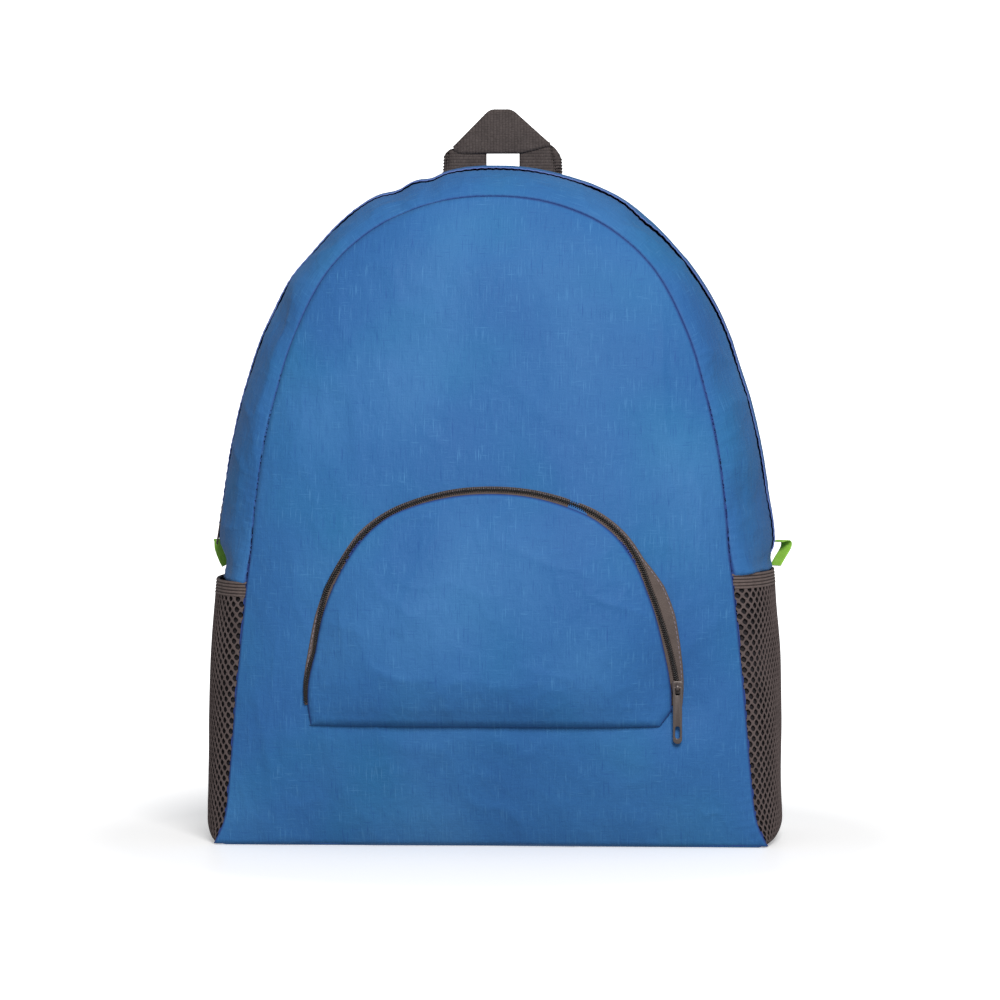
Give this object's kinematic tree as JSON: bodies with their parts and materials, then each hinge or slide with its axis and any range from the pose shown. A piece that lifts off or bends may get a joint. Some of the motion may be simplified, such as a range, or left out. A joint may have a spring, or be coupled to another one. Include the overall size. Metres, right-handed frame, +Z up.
{
  "type": "packable backpack",
  "caption": "Foldable cloth backpack with an arched zipper, mesh side pockets, a half-moon front pocket, a webbing grab handle and shoulder straps.",
  "frame": {"origin": "middle of the bottom panel's underside, under the plane that the depths are measured from", "axes": "+X to the right seen from the front, +Y towards the wearer's back, +Z up"},
  "size_m": [0.3409, 0.1694, 0.428],
  "materials": {
    "blue_cloth": "thin coated plain-weave cloth with a soft sheen",
    "zipper_tape": "woven tape with a nylon coil",
    "slider_paint": "satin taupe enamel",
    "pocket_net": "knitted air mesh with open cells",
    "elastic_binding": "ribbed elastic braid",
    "dark_webbing": "ribbed woven webbing",
    "strap_cloth": "the bag's cloth over a thin foam",
    "dark_plastic": "moulded acetal",
    "green_ribbon": "narrow satin ribbon"
  },
  "bodies": {
    "bag": {"front_panel": "blue_cloth", "front_gusset": "blue_cloth", "back_gusset": "blue_cloth", "side_panel_left": "blue_cloth", "side_panel_right": "blue_cloth", "back_panel": "blue_cloth", "base_panel": "blue_cloth", "main_zipper": "zipper_tape", "main_slider": "slider_paint", "mesh_pocket_left": "pocket_net", "mesh_pocket_right": "pocket_net", "pocket_binding_left": "elastic_binding", "pocket_binding_right": "elastic_binding", "front_pocket": "blue_cloth", "pocket_zipper": "zipper_tape", "pocket_slider": "slider_paint", "grab_handle": "dark_webbing", "shoulder_strap_left": "strap_cloth", "shoulder_strap_right": "strap_cloth", "strap_webbing_left": "dark_webbing", "strap_webbing_right": "dark_webbing", "strap_buckle_left": "dark_plastic", "strap_buckle_right": "dark_plastic", "zipper_loop_left": "green_ribbon", "zipper_loop_right": "green_ribbon"},
    "pull": {"pocket_pull": "slider_paint"}
  },
  "joints": [
    {"name": "pull_swing", "type": "hinge", "parent": "bag", "child": "pull", "pos_m": [0.10792, -0.07037, 0.0935], "axis": [-1, 0, 0], "range_deg": [0, 150]}
  ]
}
